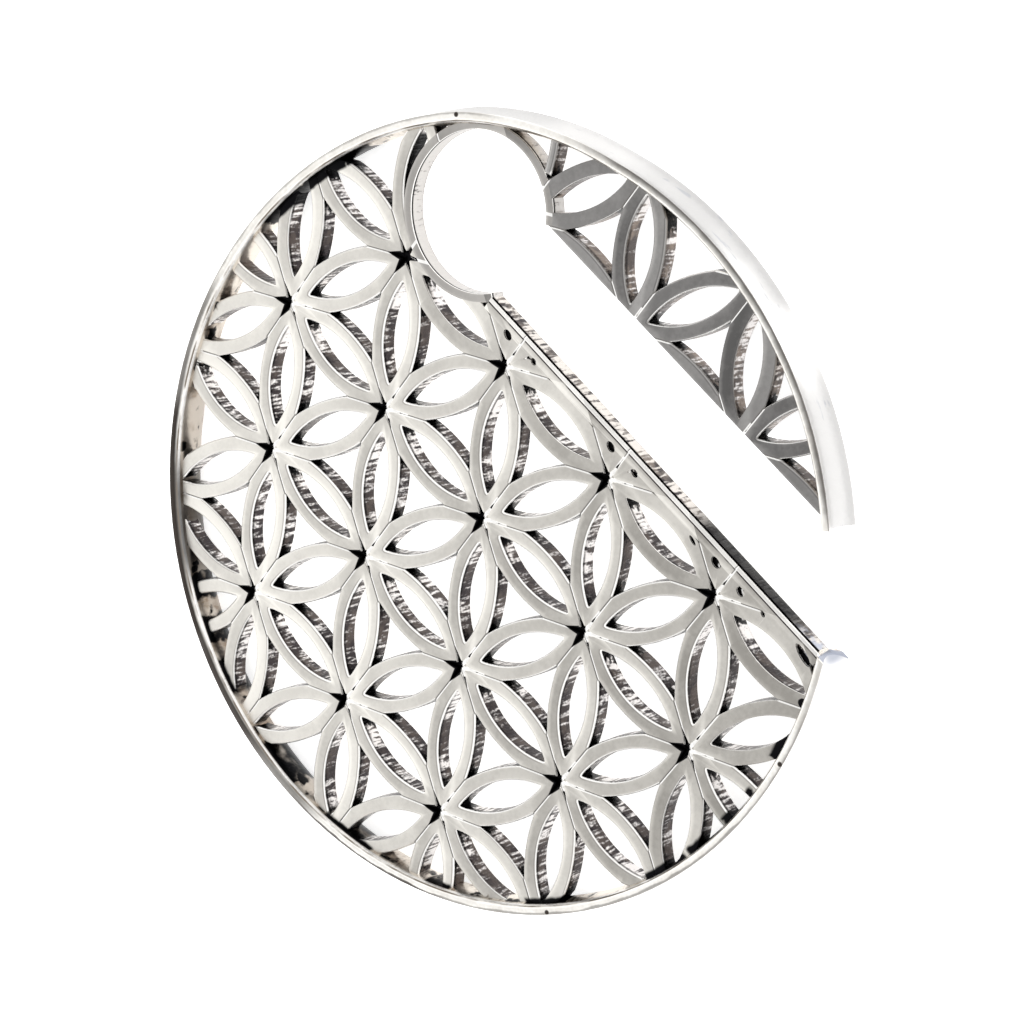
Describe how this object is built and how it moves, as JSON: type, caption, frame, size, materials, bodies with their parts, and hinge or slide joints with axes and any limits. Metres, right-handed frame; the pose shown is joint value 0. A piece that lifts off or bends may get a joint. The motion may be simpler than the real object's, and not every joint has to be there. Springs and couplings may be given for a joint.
{
  "type": "ear weight",
  "caption": "Round openwork disc of interlaced petal rings in a waisted rim, with a keyhole slot that leaves a curved arm.",
  "frame": {"origin": "under the middle of the box round the disc, on the plane of its back lip", "axes": "+Z out of the disc's front face, +Y along the slot from its mouth toward the round hole, +X from the main field toward the arm"},
  "size_m": [0.0562, 0.057, 0.0032],
  "materials": {
    "plated_brass": "silver plated, satin faces and blackened recesses"
  },
  "bodies": {
    "root": {"cast_disc": "plated_brass"}
  },
  "joints": []
}
